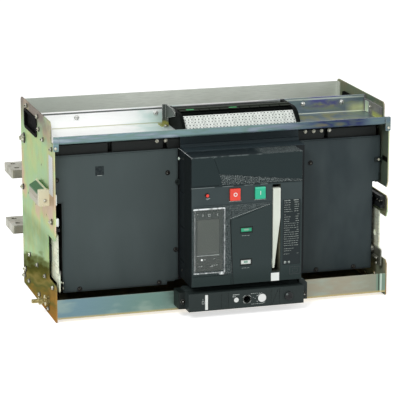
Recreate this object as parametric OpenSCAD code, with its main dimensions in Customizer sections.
// Draw-out air circuit breaker, three poles, in its steel cradle.
// X runs right, Y runs back and Z up. The modules are drawn with Y = 0 at the
// front edge of the cradle's side plates and Z = 0 at their feet; seat() then
// moves every node so that the origin lies under the middle of the whole device.

/* [Cradle] */
// Width over the two side plates
cradle_w = 786; // [640:2:960]
// Height of the side plates
cradle_h = 451; // [370:1:545]
// Front to back length of the side plates
plate_d = 345; // [285:1:420]
// Thickness of the side plates and of the folded sheets
sheet_t = 3; // [2:0.1:4]
// How far the upper front corner of a side plate stands back
corner_back = 33; // [20:1:50]
// Depth of the top tray's floor below the top of the plates
tray_drop = 42; // [40:1:60]
// Front to back depth of the top tray
tray_d = 153; // [125:1:185]
// Height of the tray's front lip
tray_lip_h = 15; // [10:1:25]
// Height of the tray's rear flange
tray_back_h = 39; // [25:1:39]
// Height of the pan's floor above the feet
pan_z = 8; // [5:1:12]
// Height of the pan's front lip
pan_lip_h = 45; // [36:1:54]

/* [Terminals] */
// Free length of the terminals behind the moulded base
term_len = 156; // [125:1:190]
// Thickness of a terminal bar
term_t = 20; // [15:1:25]
// Gap between the bars of neighbouring poles
pole_gap = 65; // [50:1:80]
// How much wider the drilled pad is than its bar
pad_extra = 20; // [0:1:30]
// How far the pad of an outer pole stands out past its bar
pad_shift = 15; // [0:1:20]
// Length of a drilled pad
pad_len = 90; // [75:1:110]
// Diameter of the holes in a pad
pad_hole_d = 13; // [9:0.5:14]
// Underside of the lower terminals
term_low_z = 104; // [90:1:125]
// Underside of the upper terminals
term_up_z = 240; // [205:1:288]

/* [Breaker] */
// Distance of the black front panels behind the plates' front edge
panel_y = 38; // [32:1:50]
// Distance the front cover stands out before the plates' front edge
cover_proj = 65; // [54:1:80]
// Left side of the front cover
cover_x0 = -98; // [-120:1:-80]
// Width of the front cover
cover_w = 259; // [215:1:311]
// Width of the mechanism housing that shows at the right of the cover
mech_side = 24; // [15:1:40]
// Width of the trip unit
trip_w = 66; // [55:1:70]
// Width of the handle's slot
slot_w = 20; // [16:0.5:24]
// Width of an on or off button
key_w = 24; // [20:1:28]
// Height of an on or off button
key_h = 27; // [22:1:32]

/* [Motion] */
// Travel of the support rails out of the cradle
rail_travel = 195; // [120:5:200]
// Stroke of the push buttons
button_stroke = 4; // [2:0.5:5]

/* [Hidden] */
$fn = 48;

// Clearances
run_gap = 5;      // between the breaker and the cradle that it slides in
fit_gap = 0.3;    // between pieces that seat on each other
key_gap = 0.8;    // round a push button in its pocket
roll_gap = 0.5;   // between the support rollers and the rails
over = 1;         // how far a cut runs past the face it opens

half_w = cradle_w / 2;
inner_half = half_w - sheet_t;
tray_z = cradle_h - tray_drop;                // top face of the tray's floor
tray_under = tray_z - sheet_t;
pan_lip_z = pan_z + pan_lip_h;
base_d = 39;                                  // thickness of the moulded base
base_y1 = plate_d - 6;                        // its rear face
base_y0 = base_y1 - base_d;
base_top = term_up_z + term_t + 40;
term_y1 = base_y1 + term_len;                 // free ends of the terminals

end_wall = 10;                                // base left beside an outer bar
bar_w = (2 * (inner_half - end_wall - pole_gap)) / 3;
pole_pitch = bar_w + pole_gap;
pad_w = bar_w + pad_extra;
poles = [-1, 0, 1];
levels = [term_low_z, term_up_z];

lid_proud = 7;                                // how far the clear lid stands out
front_y = -cover_proj - lid_proud;            // foremost face of the device
stud_out = 40;                                // earth stud beyond the left plate
mid_x = (pole_pitch + pad_shift + pad_w / 2 - half_w - stud_out) / 2;
mid_y = (front_y + term_y1) / 2;

module seat() { translate([-mid_x, -mid_y, 0]) children(); }

// A box given by its lowest and highest corners
module span(a, b) { translate(a) cube(b - a); }

// A (Y, Z) outline extruded from x0 to x1, and an (X, Z) outline from y0 to y1
module along_x(x0, x1) {
  translate([x0, 0, 0]) rotate([90, 0, 90]) linear_extrude(height = x1 - x0) children();
}
module along_y(y0, y1) {
  translate([0, y1, 0]) rotate([90, 0, 0]) linear_extrude(height = y1 - y0) children();
}
module along_z(z0, z1) { translate([0, 0, z0]) linear_extrude(height = z1 - z0) children(); }

// A bore or a rod along X, Y or Z
module rod_x(x0, x1, y, z, d) { translate([x0, y, z]) rotate([0, 90, 0]) cylinder(h = x1 - x0, d = d); }
module rod_y(x, y0, y1, z, d) { translate([x, y1, z]) rotate([90, 0, 0]) cylinder(h = y1 - y0, d = d); }
module rod_z(x, y, z0, z1, d) { translate([x, y, z0]) cylinder(h = z1 - z0, d = d); }

// Outline of a rectangle from corner a to corner b with round corners
module rounded(a, b, r) {
  for (u = [a.x + r, b.x - r], v = [a.y + r, b.y - r]) translate([u, v]) circle(r = r);
  translate([a.x + r, a.y]) square([b.x - a.x - 2 * r, b.y - a.y]);
  translate([a.x, a.y + r]) square([b.x - a.x, b.y - a.y - 2 * r]);
}
module window(a, b) { translate(a) square(b - a); }

// Section of a sheet folded up along two edges: floor from a.x to b.x at height a.y, walls up to b.y
bend_r = 5;
module folded(a, b, t) {
  difference() {
    rounded(a, b + [0, 2 * bend_r], bend_r);
    rounded(a + [t, t], b + [-t, 4 * bend_r], bend_r - t);
    window([a.x - over, b.y], b + [over, 3 * bend_r]);
  }
}
// The same copied to the other side of the device
module both_sides() { for (s = [0, 1]) mirror([s, 0, 0]) children(); }

// ---------------------------------------------------------------- cradle

step_z = tray_under - 0.5;      // the tray's lip passes in front of the plates above this
notch_z0 = 84;                  // cut-out for the rails, open to the front
notch_z1 = 187;
notch_y = 76;
lock_z0 = 237;                  // lever slot of the right-hand plate
lock_z1 = 257;
lock_y = 110;
pocket_y = [tray_d + 19, plate_d - 47];       // lifting pocket
pocket_z = [cradle_h - 60, cradle_h - 22];
pocket_r = 6;
stud_y = 72;
stud_z = 34;
stud_seat = 22;                 // washer of the earth stud inside the plate
plug_d = 6;                     // small tooling holes of a plate
tooling = [[90, cradle_h - 10.5], [128, cradle_h - 116], [plate_d - 69, 235], [84, 229]];

// A cut-out open to the plate's front edge, with flared lips and round inner corners
module front_slot(y1, z0, z1, r) {
  rounded([-40, z0], [y1, z1], r);
  polygon([[-over, z0 - 9], [8, z0], [8, z1], [-over, z1 + 17]]);
}
module side_plate(side, slot) {
  x0 = side > 0 ? inner_half : -half_w;
  difference() {
    along_x(x0, x0 + sheet_t) difference() {
      union() {
        rounded([0, 0], [plate_d, step_z], 4);
        rounded([corner_back, bend_r], [plate_d, cradle_h], 10);
      }
      front_slot(notch_y, notch_z0, notch_z1, 7);
      if (slot) front_slot(lock_y, lock_z0, lock_z1, 4);
      rounded([pocket_y[0], pocket_z[0]], [pocket_y[1], pocket_z[1]], pocket_r);
    }
    rod_x(x0 - over, x0 + sheet_t + over, stud_y, stud_z, 10);
    for (p = tooling) rod_x(x0 - over, x0 + sheet_t + over, p[0], p[1], plug_d);
  }
}
module left_side_plate() { color([0.70, 0.78, 0.58]) side_plate(-1, false); }
module right_side_plate() { color([0.45, 0.46, 0.36]) side_plate(1, true); }

// Rear wall above the base, with flanges folded forward against the plates
rear_flange = 20;
rear_overlap = 26;
module rear_panel() {
  y1 = base_y1 + sheet_t;
  color([0.64, 0.67, 0.63]) difference() {
    union() {
      mirror([0, 1, 0]) along_z(base_top + fit_gap, cradle_h - 6)
        folded([-inner_half, -y1], [inner_half, rear_flange - y1], sheet_t);
      span([-inner_half, base_y1, base_top - rear_overlap], [inner_half, y1, base_top + over]);
    }
    for (x = [-1, 1] * (inner_half - 60)) rod_y(x, base_y1 - over, y1 + over, base_top - 13, 9);
  }
}

// Channel across the top; its lip passes before the plates and is held by an ear at each end
ear_drop = 14;
tab_h = 30;
module top_tray() {
  color([0.62, 0.70, 0.68]) difference() {
    union() {
      along_x(-inner_half, inner_half)
        folded([0, tray_under], [tray_d, tray_z + tray_back_h], sheet_t);
      both_sides() {
        span([inner_half - over, 0, tray_under + bend_r], [half_w, sheet_t, tray_z + tray_lip_h]);
        along_y(-sheet_t, 0) rounded([inner_half - 8, tray_under - ear_drop],
                                     [half_w + 1, tray_z + tray_lip_h], 2);
        along_x(inner_half - sheet_t, inner_half)
          rounded([corner_back + 8, tray_under + 1], [tray_d - over, tray_z + tab_h], 4);
      }
    }
    span([-half_w, -over, tray_z + tray_lip_h], [half_w, sheet_t + over, cradle_h]);
    for (x = [-305, -120, 235, 330] * half_w / 393)
      rod_y(x, tray_d - sheet_t - over, tray_d + over, tray_z + 24, 7);
    both_sides() rod_x(inner_half - sheet_t - over, inner_half + over, tray_d - 40, tray_z + 16, 7);
  }
}

floor_edge = 40;                // floor hole to the plate's inner face
floor_hole_y = [70, base_y0 - 30];
floor_hole_d = 11;
pan_flange_z = stud_z - stud_seat / 2 - 1;    // top of the pan's side flanges

module bottom_pan() {
  color([0.50, 0.56, 0.56]) difference() {
    union() {
      along_y(sheet_t, base_y0)
        folded([-inner_half, pan_z], [inner_half, pan_flange_z], sheet_t);
      along_y(0, sheet_t) rounded([-inner_half, pan_z], [inner_half, pan_lip_z], 1.5);
    }
    for (x = [-1, 1] * (inner_half - floor_edge), y = floor_hole_y)
      rod_z(x, y, pan_z - over, pan_z + sheet_t + over, floor_hole_d);
    for (i = poles) along_z(pan_z - over, pan_z + sheet_t + over)
      rounded([i * pole_pitch - 70, 110], [i * pole_pitch + 70, 122], 5.5);
  }
}

// Moulded base: collars round the bars, phase barriers between the poles and coring pockets
collar = 8;
collar_proud = 6;
barrier_t = 8;
barrier_d = 40;
core_rib = 7;
core_depth = 12;

module bar_window(i, z, grow) {
  window([i * pole_pitch - bar_w / 2 - grow, z - grow], [i * pole_pitch + bar_w / 2 + grow, z + term_t + grow]);
}
module coring(z0, z1) {
  pocket = (bar_w - 2 * core_rib) / 3;
  for (i = poles, k = poles)
    rounded([i * pole_pitch + k * (pocket + core_rib) - pocket / 2, z0],
            [i * pole_pitch + k * (pocket + core_rib) + pocket / 2, z1], 4);
}
module rear_base() {
  color([0.24, 0.20, 0.18]) difference() {
    union() {
      span([-inner_half, base_y0, pan_z], [inner_half, base_y1, base_top]);
      for (x = [-1, 1] * pole_pitch / 2) along_x(x - barrier_t / 2, x + barrier_t / 2)
        rounded([base_y1 - 10, pan_z + 22], [base_y1 + barrier_d, base_top - rear_overlap - 2], 8);
      along_y(base_y1 - over, base_y1 + collar_proud) for (i = poles, z = levels) bar_window(i, z, collar);
    }
    along_y(base_y0 - over, base_y1 + barrier_d) for (i = poles, z = levels) bar_window(i, z, fit_gap);
    along_y(base_y1 - core_depth, base_y1 + over) {
      coring(pan_z + 16, term_low_z - collar - 6);
      coring(term_low_z + term_t + collar + 6, term_up_z - collar - 6);
    }
  }
}

// One pole's bar: contact blade, neck through the base, wide drilled pad
blade_step = 20;                // how far a blade is set in from each edge of its bar
blade_len = 38;
blade_y0 = base_y0 - blade_len;
blade_w = bar_w - 2 * blade_step;
hole_edge = 17;                 // first column of holes to the pad's edge
hole_row = 21;                  // first row to the pad's end
row_pitch = 44;
hole_cols = 5;                  // evenly spaced; the middle one is left out
hole_pitch = (pad_w - 2 * hole_edge) / (hole_cols - 1);

module terminal(i, z) {
  pad_x = i * (pole_pitch + pad_shift);
  difference() {
    along_z(z, z + term_t) {
      translate([i * pole_pitch, 0]) {
        rounded([-blade_w / 2, blade_y0], [blade_w / 2, base_y0 + 10], 4);
        rounded([-bar_w / 2, base_y0], [bar_w / 2, term_y1 - pad_len + 10], 3);
      }
      translate([pad_x, 0]) rounded([-pad_w / 2, term_y1 - pad_len], [pad_w / 2, term_y1], 3);
    }
    for (c = [0:hole_cols - 1], r = [0, 1]) if (2 * c != hole_cols - 1)
      rod_z(pad_x - pad_w / 2 + hole_edge + c * hole_pitch, term_y1 - hole_row - r * row_pitch,
            z - over, z + term_t + over, pad_hole_d);
  }
}
module upper_terminals() { color([0.68, 0.68, 0.62]) for (i = poles) terminal(i, term_up_z); }
module lower_terminals() { color([0.68, 0.68, 0.62]) for (i = poles) terminal(i, term_low_z); }

// Runner on the plate that the rail slides on, with its stop pin, and the black channel above it
rail_t = 3;
runner_t = 7;
rail_x = inner_half - runner_t;  // outer face of a rail's web
rail_z0 = notch_z0 + 3;
rail_z1 = notch_z1 + 10;
rail_y0 = 23;
rail_y1 = base_y0 - 10;
stop_y = notch_y + 12;
stop_z = (notch_z0 + notch_z1) / 2 + 4.5;
stop_d = 7;
guide_z0 = 206;
guide_z1 = 234;
guide_w = 11;
guide_y = [12, base_y0 - 8];

module guide(side) {
  mirror([side > 0 ? 0 : 1, 0, 0]) {
    along_x(rail_x + fit_gap, inner_half)
      rounded([notch_y + 4, stop_z - 20], [guide_y[1], stop_z + 20], 4);
    rod_x(rail_x - rail_t - 2, rail_x + runner_t, stop_y, stop_z, stop_d);
    difference() {
      along_x(inner_half - guide_w, inner_half)
        rounded([guide_y[0], guide_z0], [guide_y[1], guide_z1], 3);
      span([inner_half - guide_w - over, guide_y[0] - over, guide_z0 + 8],
           [inner_half - 5, guide_y[1] - 6, guide_z1 - 8]);
      for (y = [49, 81]) rod_x(inner_half - 6, inner_half + over, y, guide_z0 + 14, 5);
    }
  }
}
module left_guide() { color([0.16, 0.17, 0.17]) guide(-1); }
module right_guide() { color([0.16, 0.17, 0.17]) guide(1); }

// Shallow black cups let into the two plates, for the fingers
cup_depth = 4;
cup_wall = 2.5;
cup_flange = 4;
module pocket_outline(grow) {
  rounded([pocket_y[0] - grow, pocket_z[0] - grow], [pocket_y[1] + grow, pocket_z[1] + grow],
          max(1, pocket_r + grow));
}
module lifting_pockets() {
  color([0.06, 0.07, 0.07]) both_sides() difference() {
    union() {
      along_x(inner_half - cup_depth, half_w) pocket_outline(-fit_gap);
      along_x(half_w, half_w + 2) pocket_outline(cup_flange);
    }
    along_x(inner_half - cup_depth + cup_wall, half_w + 3) pocket_outline(-fit_gap - cup_wall);
  }
}

// Secondary-circuit terminal block that stands in the tray, between two arched end caps
block_x0 = cover_x0 + 2;
block_x1 = cover_x0 + cover_w + mech_side - 3;
cap_w = 8;
block_y0 = 14;
block_y1 = tray_d - sheet_t - 18;
block_h = 43;
arch_y = 62;                    // crest of the arched front
arch_r = 54;

// (Y, Z) outline with an arched front, drawn in by inset from the cap's own line
module arched(inset) {
  intersection() {
    translate([arch_y, tray_z - 12]) circle(r = arch_r - inset, $fn = 96);
    window([block_y0 + inset, tray_z], [arch_y + over, cradle_h + 20]);
  }
  window([arch_y, tray_z], [block_y1 + 4 - inset, tray_z + arch_r - 12 - inset]);
}
module signal_block() {
  color([0.07, 0.08, 0.08]) {
    along_x(block_x0 + cap_w - over, block_x1 - cap_w + over) difference() {
      arched(4);
      polygon([[0, tray_z + 4], [block_y0 + 8, tray_z + 4],
               [arch_y - 9, tray_z + block_h - head_drop - 0.4], [arch_y, tray_z + block_h - head_drop - 0.4],
               [arch_y, cradle_h + 20], [0, cradle_h + 20]]);
    }
    for (x = [block_x0, block_x1 - cap_w]) along_x(x, x + cap_w) arched(0);
    span([block_x0 + cap_w, arch_y + 12, tray_z + block_h - 6],
         [block_x1 - cap_w, arch_y + 20, tray_z + block_h + 3]);
  }
}
// White screwless terminals on the sloping front: four steps, slit between neighbouring blocks
strip_n = 11;
tier_n = 5;
head_drop = 13;                 // the strips' top edge below the block's top
module signal_strips() {
  x0 = block_x0 + cap_w + fit_gap;
  x1 = block_x1 - cap_w - fit_gap;
  pitch = (x1 - x0) / strip_n;
  foot = [block_y0 + 8, tray_z + 4.4];
  head = [arch_y - 9, tray_z + block_h - head_drop];
  tier = (head - foot) / tier_n;
  color([0.90, 0.93, 0.90]) difference() {
    along_x(x0, x1) polygon(concat([head, foot],
      [for (k = [0:tier_n - 1], c = [0, 1]) foot + (k + c) * tier + [-7 + 0.8 * c, 5.5 - 0.8 * c]]));
    for (i = [1:strip_n - 1]) translate([x0 + i * pitch, 0, 0])
      span([-0.4, block_y0 - 4, tray_z + 6], [0.4, arch_y, cradle_h + 10]);
  }
}
// Folded plate at the block's left end, with a foot screwed to the tray
module signal_bracket() {
  y0 = arch_y - 4;
  y1 = tray_d - sheet_t - 10;
  color([0.72, 0.76, 0.68]) difference() {
    union() {
      along_x(block_x0 - 4, block_x0 - 1)
        polygon([[y1 - 16, tray_z], [y1, tray_z], [y1, tray_z + block_h + 3], [y0 + 24, tray_z + block_h + 3],
                 [y0 + 8, tray_z + block_h - 3], [y0 + 8, tray_z + block_h - 12],
                 [y1 - 16, tray_z + block_h - 26]]);
      span([block_x0 - 22, y1 - 30, tray_z], [block_x0 - 4, y1, tray_z + 2]);
      span([block_x0 - 12, y1 - 2, tray_z], [block_x0 - 4, y1, tray_z + block_h + 3]);
    }
    rod_z(block_x0 - 13, y1 - 17, tray_z - over, tray_z + 3, 6);
  }
}

// Racking drive, bolted to the pan's front lip
rack_x0 = cover_x0 - 5;
rack_x1 = cover_x0 + cover_w + 7;
rack_y = -cover_proj + 3;
rack_z0 = pan_z + 10;
rack_z1 = pan_lip_z + 7;
rack_step = 3;                  // rise of the body's rear half
rack_wing = [18, 15];           // how far the left and right wings reach past the body
wing_y = rack_y + 20;
wing_rise = 10;                 // the right wing is this much taller, with a chamfer
rack_top = rack_z1 + wing_rise;
dial_z = (rack_z0 + rack_z1) / 2 - 1;
crank_x = rack_x0 + 136;
crank_d = 17;
crank_depth = 36;
key_x = rack_x0 + 111;          // small key disc
pilot_x = rack_x0 + 172;        // white indicator disc
knob_x = rack_x1 - 36;
bar_slot_x = rack_x0 + 41;      // white padlock bar
rule_x = [rack_x0 + 76, rack_x0 + 92, rack_x1 - 78, rack_x1 - 58];

module racking_housing() {
  color([0.09, 0.10, 0.11]) difference() {
    union() {
      along_x(rack_x0, rack_x1) {
        rounded([rack_y, rack_z0], [rack_y + 30, rack_z1], 1.5);
        polygon([[rack_y + 20, rack_z0], [0, rack_z0], [0, rack_z1 + rack_step],
                 [rack_y + 34, rack_z1 + rack_step], [rack_y + 26, rack_z1], [rack_y + 20, rack_z1]]);
      }
      along_z(rack_z0 + 3, rack_z1) rounded([rack_x0 - rack_wing[0], wing_y], [rack_x0 + 10, 5], 4);
      along_y(wing_y, 0)
        polygon([[rack_x1 - 4, rack_z0 + 3], [rack_x1 + rack_wing[1], rack_z0 + 3],
                 [rack_x1 + rack_wing[1], rack_z1], [rack_x1 + rack_wing[1] - wing_rise, rack_top],
                 [rack_x1 - 4, rack_top]]);
    }
    span([rack_x0 - 30, 0, rack_z0 - over], [rack_x0 + 20, 6, rack_z1 + 1]);
    rod_y(crank_x, rack_y - over, rack_y + crank_depth, dial_z, crank_d);
    rod_y(key_x, rack_y - over, rack_y + 3, dial_z, 13);
    for (x = [pilot_x, knob_x]) rod_y(x, rack_y - over, rack_y + 3, dial_z, 20);
    for (x = rule_x) span([x - 0.6, rack_y - over, rack_z0 - over], [x + 0.6, rack_y + 1.2, rack_z1 - 3]);
    along_y(rack_y - over, rack_y + 1.2)
      polygon([[rule_x[2] + 2, rack_z0 + 3], [rule_x[2] + 3.4, rack_z0 + 3], [rule_x[3] - 2, rack_z1 - 4],
               [rule_x[3] - 3.4, rack_z1 - 4]]);
    span([bar_slot_x - 4, rack_y - over, rack_z0 + 2], [bar_slot_x + 4, rack_y + 4, rack_z1 - 4]);
  }
}
module slotted_disc(x, y0, d) {
  difference() {
    rod_y(x, y0, rack_y + 3, dial_z, d);
    translate([x, y0, dial_z]) rotate([0, 35, 0]) cube([d * 0.7, 1.6, 1.6], center = true);
  }
}
module racking_dials() {
  color([0.85, 0.87, 0.85]) {
    slotted_disc(key_x, rack_y + 0.6, 13 - 2 * fit_gap);
    rod_y(pilot_x, rack_y + 0.6, rack_y + 3, dial_z, 20 - 2 * fit_gap);
    slotted_disc(knob_x, rack_y - 4, 20 - 2 * fit_gap);
  }
}
module padlock_bar() {
  color([0.88, 0.90, 0.88]) span([bar_slot_x - 4 + key_gap, rack_y + 0.4, rack_z0 + 2 + key_gap],
                                 [bar_slot_x + 4 - key_gap, rack_y + 4, rack_z1 - 4 - key_gap]);
}

// Pluggable two-row connector on the left plate, with a cream end block and spine
conn_y = [50, 150];
conn_z = [258, 295];
conn_proud = 24;
conn_end = 12;
conn_n = 7;
module aux_connector() {
  pitch = (conn_y[1] - conn_y[0] - conn_end) / conn_n;
  color([0.25, 0.50, 0.32]) difference() {
    along_y(conn_y[0] + conn_end, conn_y[1])
      polygon([[-half_w, conn_z[0]], [-half_w, conn_z[1]], [-half_w - 9, conn_z[1]],
               [-half_w - conn_proud, conn_z[1] - 9], [-half_w - conn_proud, conn_z[0]]]);
    for (i = [0:conn_n - 1]) translate([0, conn_y[0] + conn_end + (i + 0.5) * pitch, 0]) {
      span([-half_w - conn_proud - over, -3, conn_z[0] + 12], [-half_w - conn_proud + 4, 3, conn_z[0] + 22]);
      rod_z(-half_w - 6, 0, conn_z[1] - 4, conn_z[1] + over, 4);
    }
  }
}
module aux_connector_ends() {
  color([0.90, 0.86, 0.72]) {
    along_y(conn_y[0], conn_y[0] + conn_end)
      rounded([-half_w - conn_proud, conn_z[0]], [-half_w, conn_z[1]], 2);
    along_y(conn_y[0], conn_y[1])
      window([-half_w - 9, conn_z[1]], [-half_w - 6, conn_z[1] + 3]);
  }
}

stud_d = 9.4;
stud_nut = 19;
module earth_stud() {
  color([0.72, 0.68, 0.48]) {
    rod_x(-half_w - stud_out, -inner_half + 8, stud_y, stud_z, stud_d);
    for (x = [-half_w - 7, -half_w - 24]) translate([x, stud_y, stud_z]) rotate([0, 90, 0])
      cylinder(h = 7, d = stud_nut, $fn = 6);
    rod_x(-half_w - 10, -half_w - 7, stud_y, stud_z, 24);
    rod_x(-inner_half, -inner_half + 5, stud_y, stud_z, stud_seat);
  }
}

module marking_strip() {
  color([0.80, 0.83, 0.78])
    span([-half_w - 0.8, 12, (notch_z1 + step_z) / 2 - 9], [-half_w, conn_y[0] - 1, step_z - 30]);
}

// ---------------------------------------------------------------- rails

roller_len = 11;
case_half_low = rail_x - rail_t - 1 - roller_len;   // half width of the pole housing beside the rails
hook_drop = 20;
pull_d = 14;
module rail(side) {
  web = [rail_x - rail_t, rail_x];
  mirror([side > 0 ? 0 : 1, 0, 0]) {
    difference() {
      along_x(web[0], web[1]) {
        rounded([rail_y0, rail_z0], [rail_y1, rail_z1], 6);
        rounded([rail_y0 - 14, rail_z0 - hook_drop], [rail_y0 + 10, rail_z0 + 22], 5);
        window([rail_y0 + 4, rail_z0], [rail_y1 - 4, rail_z0 + 10]);
      }
      along_x(web[0] - over, web[1] + over)
        rounded([stop_y - stop_d / 2 - 1, stop_z - stop_d / 2 - 1],
                [stop_y + rail_travel + stop_d / 2 + 1, stop_z + stop_d / 2 + 1], stop_d / 2 + 0.9);
      rod_x(web[0] - over, web[1] + over, rail_y0 + 25, stop_z, pull_d);
    }
    span([case_half_low + run_gap, rail_y0 + 4, rail_z0 - rail_t], [web[1], rail_y1 - 4, rail_z0 + fit_gap]);
  }
}
module left_rail() { color([0.75, 0.78, 0.66]) rail(-1); }
module right_rail() { color([0.75, 0.78, 0.66]) rail(1); }

// ---------------------------------------------------------------- breaker

panel_t = 4;
case_y0 = panel_y + panel_t;
cluster_len = 46;
case_y1 = blade_y0 - 12;
case_half_up = inner_half - run_gap;  // half width above the guides
case_step_z = guide_z1 + 31;
case_z0 = pan_lip_z + run_gap;
chute_h = 28;
upper_z = tray_under - run_gap;       // top of all that passes under the tray
case_z1 = upper_z - chute_h;
cover_x1 = cover_x0 + cover_w;
cover_z0 = rack_top + run_gap + 1;
cover_z1 = case_z1;
mech_x1 = cover_x1 + mech_side;
mech_y0 = -8;                         // front face of the mechanism housing, behind the cover
arch_x = [rack_x0 - rack_wing[0] - run_gap, rack_x1 + rack_wing[1] + run_gap];

// Front outline of the breaker: narrow between the rails, with a stepped way over the racking drive
module case_outline(in) {
  difference() {
    union() {
      rounded([-case_half_low + in, case_z0 + in], [case_half_low - in, case_z1 - in], 3);
      rounded([-case_half_up + in, case_step_z + in], [case_half_up - in, case_z1 - in], 3);
    }
    window([arch_x[0] - in, case_z0 - over], [arch_x[1] + in, rack_z1 + run_gap + in]);
    window([rack_x0 - run_gap - in, case_z0 - over], [arch_x[1] + in, rack_z1 + rack_step + run_gap + in]);
    window([rack_x1 - 4 - run_gap - in, case_z0 - over], [arch_x[1] + in, cover_z0 + in]);
  }
}
// Moulded case of the three poles, grooved where they meet, with stiffening ribs at the rear
pole_seam = 3;
rear_rib = 8;
module pole_housing() {
  color([0.13, 0.14, 0.15]) difference() {
    along_y(case_y0, case_y1) case_outline(0);
    for (x = [-1, 1] * pole_pitch / 2) {
      along_x(x - pole_seam / 2, x + pole_seam / 2) {
        window([case_y0 - over, case_z1 - 6], [case_y1 + over, case_z1 + over]);
        window([case_y1 - 6, case_z0 - over], [case_y1 + over, case_z1 + over]);
      }
    }
    for (i = poles, k = [-1, 1]) along_y(case_y1 - rear_rib, case_y1 + over)
      rounded([i * pole_pitch + k * bar_w / 4 - bar_w / 4 + 6, term_low_z + term_t + 22],
              [i * pole_pitch + k * bar_w / 4 + bar_w / 4 - 6, term_up_z - 22], 5);
  }
}

module front_panel(x0, x1) {
  intersection() {
    along_y(panel_y, case_y0) case_outline(0);
    along_y(panel_y - over, case_y0 + over) rounded([x0, case_z0 - 5], [x1, case_z1 + 5], 4);
  }
  intersection() {
    along_y(panel_y - 1.5, panel_y + over) case_outline(3);
    along_y(panel_y - 2, case_y0) rounded([x0 + 3, case_z0 - 5], [x1 - 3, case_z1 + 5], 4);
  }
}
module left_front_panel() { color([0.27, 0.32, 0.33]) front_panel(-case_half_up - 5, cover_x0 - 2); }
module right_front_panel() { color([0.22, 0.27, 0.28]) front_panel(mech_x1 + 2, case_half_up + 5); }

module mechanism_housing() {
  color([0.11, 0.12, 0.13]) difference() {
    along_z(cover_z0, cover_z1) rounded([cover_x0 + 1, mech_y0 - 5], [mech_x1, case_y0 + 5], 4);
    span([cover_x0, mech_y0 - 6, cover_z0 - over], [mech_x1 + over, mech_y0, cover_z1 + over]);
    span([cover_x0, case_y0, cover_z0 - over], [mech_x1 + over, case_y0 + 6, cover_z1 + over]);
    for (z = [cover_z0 + 40, cover_z0 + 120, cover_z0 + 200])
      span([cover_x0, mech_y0 + 8, z], [cover_x0 + 3, case_y0 - 8, z + 4]);
    for (z = [cover_z0 + 30 : 34 : cover_z1 - 40])
      span([mech_x1 - 2, mech_y0 + 8, z], [mech_x1 + over, case_y0 - 8, z + 18]);
  }
}
// Wall that closes the gap under the tray, with a ledge over the mechanism housing
ledge_t = 2;
module upper_housing() {
  foot = cover_z1 + fit_gap;
  color([0.10, 0.12, 0.13]) along_x(cover_x0 + 4, mech_x1)
    polygon([[case_y0, foot], [mech_y0 + 1, foot], [mech_y0 + 1, foot + ledge_t], [case_y0 - 9, foot + ledge_t],
             [case_y0 - 8, foot + 9], [case_y0 - 5, foot + 10], [case_y0 - 5, upper_z], [case_y0, upper_z]]);
}

// Two arc chutes for each pole: splitter plates stand in the vents, a flange holds the front
chute_gap = 2;
chute_w = (2 * (inner_half - cup_depth - run_gap) - 5 * chute_gap) / 6;
chute_flange = 21;
vent_n = 9;
module arc_chutes() {
  pitch = chute_w + chute_gap;
  vent = (chute_w - 20) / (2 * vent_n - 1);
  color([0.35, 0.33, 0.30]) for (i = [-2.5:1:2.5]) translate([i * pitch - chute_w / 2, 0, 0]) difference() {
    union() {
      along_x(0, chute_w) rounded([case_y0 + 20, case_z1], [case_y1 - 10, upper_z], 3);
      span([4, case_y0 + 4, case_z1], [chute_w - 4, case_y0 + 24, case_z1 + chute_flange]);
    }
    for (k = [0:vent_n - 1]) span([10 + 2 * k * vent, case_y0 + 100, upper_z - 10],
                                  [10 + (2 * k + 1) * vent, case_y1 - 20, upper_z + over]);
  }
}

// Sprung finger clusters that grip the blades: rows of curved jaws above and below, slit apart,
// in a carrier on the pole housing
cluster_side = 5;                // carrier beyond the blade, each side
jaw_t = 16;
grip_gap = 1;                    // between the jaws and the blade
finger_pitch = 15;
slit = 2.5;
module jaw_profile() {
  polygon([[0, grip_gap], [cluster_len - 16, grip_gap], [cluster_len - 16, jaw_t], [0, jaw_t]]);
  translate([cluster_len - 15, grip_gap + 10]) circle(r = 10);
  translate([cluster_len - 8, grip_gap + 9]) circle(r = 6.5);
}
module contact_clusters() {
  w = blade_w / 2 + cluster_side;
  fingers = floor(w / finger_pitch);
  color([0.62, 0.42, 0.25]) for (i = poles, z = levels) translate([i * pole_pitch, case_y1, z + term_t / 2])
    difference() {
      union() {
        for (s = [0, 1]) mirror([0, 0, s]) along_x(-w, w) translate([0, term_t / 2]) jaw_profile();
        span([-w, 0, -term_t / 2 - jaw_t], [w, 8, term_t / 2 + jaw_t]);
      }
      for (k = [-fingers:fingers])
        span([k * finger_pitch - slit / 2, 14, -term_t - jaw_t],
             [k * finger_pitch + slit / 2, cluster_len + over, term_t + jaw_t]);
    }
}

roller_d = 22;
roller_y = [60, case_y1 - 25];
module support_rollers() {
  color([0.55, 0.55, 0.52]) both_sides() for (y = roller_y) {
    z = rail_z0 + fit_gap + roll_gap + roller_d / 2;
    rod_x(case_half_low, case_half_low + roller_len, y, z, roller_d - 8);
    rod_x(case_half_low + 2, case_half_low + roller_len, y, z, roller_d);
  }
}

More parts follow.
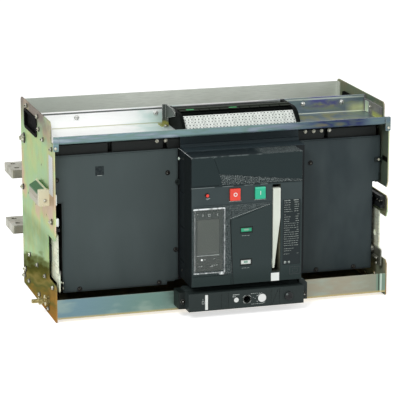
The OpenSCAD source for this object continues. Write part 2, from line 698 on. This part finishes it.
// Layout of the front cover
slot_x1 = cover_x1 - 51;
slot_x = [slot_x1 - slot_w, slot_x1];
slot_z = [cover_z0 + 22, cover_z1 - 72];
key_size = [key_w, key_h];
key_z = cover_z1 - 89;
trip_x = [cover_x0 + 6, cover_x0 + 6 + trip_w];
trip_z = [cover_z0 + 36, key_z - 30];
field_x = (trip_x[1] + slot_x[0]) / 2;                // middle of the field with keys and windows
off_x = field_x - (slot_x[0] - trip_x[1]) / 4 - 0.5;
on_x = field_x + (slot_x[0] - trip_x[1]) / 4;
reset_x = trip_x[0] + 30;
reset_d = 8;
field_h = key_z - key_size.y / 2 - cover_z0;          // room under the keys
state_size = [26, 11];
spring_size = [24, 12];
state_at = [field_x - 2 - state_size.x / 2, cover_z0 + 0.613 * field_h];
spring_at = [state_at.x, cover_z0 + 0.227 * field_h];
plate_x = [slot_x1 + 5, cover_x1];                    // field of the rating plate
rule_d = 1;                                           // depth of a rule in the moulding
rule_w = 1.6;
band_top = cover_z1 - 41;
band_low = cover_z1 - 66;
brand_x = trip_x[1] - 7;                              // the slanted rule starts here

// A straight rule cut into the cover's face from p to q, both (X, Z)
module rule(p, q) {
  d = q - p;
  translate([p.x, -cover_proj, p.y]) rotate([0, -atan2(d.y, d.x), 0])
    span([0, -over, -rule_w / 2], [norm(d), rule_d, rule_w / 2]);
}

module front_cover() {
  color([0.20, 0.25, 0.26]) difference() {
    intersection() {
      along_x(cover_x0, cover_x1) {
        rounded([-cover_proj, cover_z0], [mech_y0 - 20, cover_z1], 2);
        window([-cover_proj + 20, cover_z0], [mech_y0, cover_z1]);
      }
      along_z(cover_z0 - over, cover_z1 + over) rounded([cover_x0, -cover_proj], [cover_x1, mech_y0 + 20], 2);
      span([cover_x0, -cover_proj, cover_z0], [cover_x1, mech_y0, cover_z1]);
    }
    // handle slot, button pockets, trip unit seat and windows
    along_y(-cover_proj - over, mech_y0 - 3)
      rounded([slot_x[0], slot_z[0]], [slot_x[1], slot_z[1]], 2);
    for (x = [off_x, on_x])
      span([x - key_size.x / 2 - key_gap, -cover_proj - over, key_z - key_size.y / 2 - key_gap],
           [x + key_size.x / 2 + key_gap, -cover_proj + 18, key_z + key_size.y / 2 + key_gap]);
    rod_y(reset_x, -cover_proj - over, -cover_proj + 18, key_z + 2, reset_d + 2 * key_gap);
    span([trip_x[0] - fit_gap, -cover_proj - over, trip_z[0] - fit_gap],
         [trip_x[1] + fit_gap, -cover_proj + 20, trip_z[1] + fit_gap]);
    along_y(-cover_proj - over, -cover_proj + 3) {
      window(state_at, state_at + state_size);
      window(spring_at, spring_at + spring_size);
    }
    // tapering band above the keys, its rules, and the wedge beside the windows
    along_y(-cover_proj - over, -cover_proj + rule_d)
      polygon([[brand_x, band_top], [cover_x1 + over, band_low + 2], [cover_x1 + over, band_low - 3],
               [brand_x + 6, band_low]]);
    rule([cover_x0 - over, band_low], [brand_x + 8, band_low]);
    rule([brand_x - 15, cover_z1 + over], [brand_x, band_top]);
    rule([trip_x[0] + 10, key_z - 22], [slot_x[0], key_z - 22]);
    rule([field_x - 26, state_at.y + 33], [slot_x[0], key_z - 26]);
    rule([field_x - 38, cover_z0 - over], [field_x - 38, key_z - 36]);
    rule([cover_x0 - over, trip_z[0] - 12], [trip_x[1] + 15, trip_z[0] - 12]);
    // rating plate's bed, sunk a little at the right of the slot
    along_y(-cover_proj - over, -cover_proj + 0.6)
      rounded([plate_x[0], trip_z[0]], [plate_x[1] - 4, trip_z[1] + 10], 2);
    // flat at the foot of the slot for its white tag
    along_y(-cover_proj - over, -cover_proj + 0.5)
      window([slot_x[0] - 2, cover_z0 - over], [slot_x[1] - 2, slot_z[0] - 2]);
  }
}

display_in = 6;                  // bezel at the sides of the display
module display_outline(grow) {
  rounded([trip_x[0] + display_in - grow, trip_z[0] + 38 - grow],
          [trip_x[1] - display_in - 2 + grow, trip_z[1] - 22 + grow], 2 + grow);
}
module trip_unit() {
  color([0.17, 0.18, 0.19]) difference() {
    along_y(-cover_proj - 1, -cover_proj + 20) rounded([trip_x[0], trip_z[0]], [trip_x[1], trip_z[1]], 2);
    along_y(-cover_proj - 2, -cover_proj) display_outline(fit_gap);
    for (x = [0.25, 0.72] * trip_w) rod_y(trip_x[0] + x, -cover_proj - 2, -cover_proj + 1, trip_z[0] + 27, 4);
    along_y(-cover_proj - 2, -cover_proj) {
      rounded([trip_x[0] + display_in, trip_z[0] + 5], [trip_x[0] + 30, trip_z[0] + 18], 2);
      rounded([trip_x[0] + 34, trip_z[0] + 5], [trip_x[1] - display_in - 2, trip_z[0] + 18], 2);
    }
  }
}
module trip_display() {
  color([0.39, 0.41, 0.38]) along_y(-cover_proj - 0.6, -cover_proj) display_outline(0);
}
module window_flag(at, size) {
  along_y(-cover_proj + 1.5, -cover_proj + 3)
    window(at + [fit_gap, fit_gap], at + size - [fit_gap, fit_gap]);
}
module state_window() { color([0.15, 0.65, 0.50]) window_flag(state_at, state_size); }
module spring_window() { color([0.92, 0.94, 0.92]) window_flag(spring_at, spring_size); }
module slot_tag() {
  color([0.85, 0.87, 0.84]) along_y(-cover_proj - 0.3, -cover_proj + 0.5)
    window([slot_x[0] - 2 + fit_gap, cover_z0 + 1], [slot_x[1] - 2 - fit_gap, slot_z[0] - 2 - fit_gap]);
}

// Clear lid over the trip unit, hinged on the cover's left edge
lid_over = 4;                    // how far it reaches past the trip unit
lid_wall = 2.5;
hinge_d = 5;
lid_x = [trip_x[0] - lid_over, trip_x[1] + lid_over];
lid_z = [trip_z[0] - lid_over, trip_z[1] + lid_over];
hinge_x = lid_x[0];
hinge_y = -cover_proj - 3.5;
knuckle = 18;
module trip_lid() {
  color([0.75, 0.80, 0.80]) difference() {
    union() {
      along_y(front_y, -cover_proj - fit_gap) rounded([lid_x[0], lid_z[0]], [lid_x[1], lid_z[1]], 3);
      for (z = [lid_z[0] + 30, lid_z[1] - 30 - knuckle]) rod_z(hinge_x, hinge_y, z, z + knuckle, hinge_d);
      along_y(front_y, -cover_proj - fit_gap - 2)
        rounded([lid_x[1] - 14, lid_z[0] - 4], [lid_x[1] - 2, lid_z[0] + 4], 2);
    }
    along_y(front_y + 2, -cover_proj)
      rounded([lid_x[0] + lid_wall, lid_z[0] + lid_wall], [lid_x[1] - lid_wall, lid_z[1] - lid_wall], 1);
  }
}

// Push button with a dished face
dish_r = 60;
module key(x) {
  difference() {
    along_y(-cover_proj - button_stroke, -cover_proj + 10)
      rounded([x - key_size.x / 2, key_z - key_size.y / 2], [x + key_size.x / 2, key_z + key_size.y / 2], 1.5);
    rod_x(x - key_size.x, x + key_size.x, -cover_proj - button_stroke - dish_r + 0.8, key_z, 2 * dish_r);
  }
}
module off_button() { color([0.92, 0.30, 0.25]) key(off_x); }
module on_button() { color([0.20, 0.72, 0.55]) key(on_x); }
module reset_button() {
  color([0.88, 0.22, 0.18]) rod_y(reset_x, -cover_proj - button_stroke, -cover_proj + 10, key_z + 2, reset_d);
}

// Spring-charging handle: an eye on the pivot low in the slot and a blade that narrows to the foot
pivot = [-cover_proj + 17, slot_z[0] + 24];   // (Y, Z)
eye_r = 16;
eye_w = 8;                      // width of the eye, which leaves the slot's right side open
handle_front = -cover_proj - 3;
handle_top = slot_z[1] - 9;
module charging_handle() {
  color([0.86, 0.88, 0.84]) {
    along_x(slot_x[0] + fit_gap, slot_x[0] + eye_w) translate(pivot) circle(r = eye_r);
    intersection() {
      along_x(slot_x[0] + 1.5, slot_x[1] - 1.5) difference() {
        union() {
          rounded([handle_front, pivot.y - 15], [handle_front + 18, handle_top], 3);
          polygon([[handle_front + 10, pivot.y], [pivot.x + 8, pivot.y + 8],
                   [handle_front + 17, handle_top - 60]]);
        }
        translate([handle_front + 26, handle_top - 30]) circle(r = 14);
      }
      along_y(handle_front - over, pivot.x + eye_r)
        polygon([[slot_x[0] + 1.5, handle_top + over], [slot_x[1] - 1.5, handle_top + over],
                 [slot_x[1] - 1.5, pivot.y + 0.6 * (handle_top - pivot.y)],
                 [slot_x[0] + 4.5, pivot.y - 14], [slot_x[0] + 1.5, pivot.y - 14]]);
    }
  }
}

// ---------------------------------------------------------------- assembly

seat() left_side_plate();
seat() right_side_plate();
seat() rear_panel();
seat() top_tray();
seat() bottom_pan();
seat() rear_base();
seat() upper_terminals();
seat() lower_terminals();
seat() left_guide();
seat() right_guide();
seat() lifting_pockets();
seat() signal_block();
seat() signal_strips();
seat() signal_bracket();
seat() racking_housing();
seat() racking_dials();
seat() padlock_bar();
seat() aux_connector();
seat() aux_connector_ends();
seat() earth_stud();
seat() marking_strip();
seat() left_rail();
seat() right_rail();
seat() pole_housing();
seat() left_front_panel();
seat() right_front_panel();
seat() mechanism_housing();
seat() upper_housing();
seat() arc_chutes();
seat() contact_clusters();
seat() support_rollers();
seat() front_cover();
seat() trip_unit();
seat() trip_display();
seat() state_window();
seat() spring_window();
seat() slot_tag();
seat() trip_lid();
seat() off_button();
seat() on_button();
seat() reset_button();
seat() charging_handle();
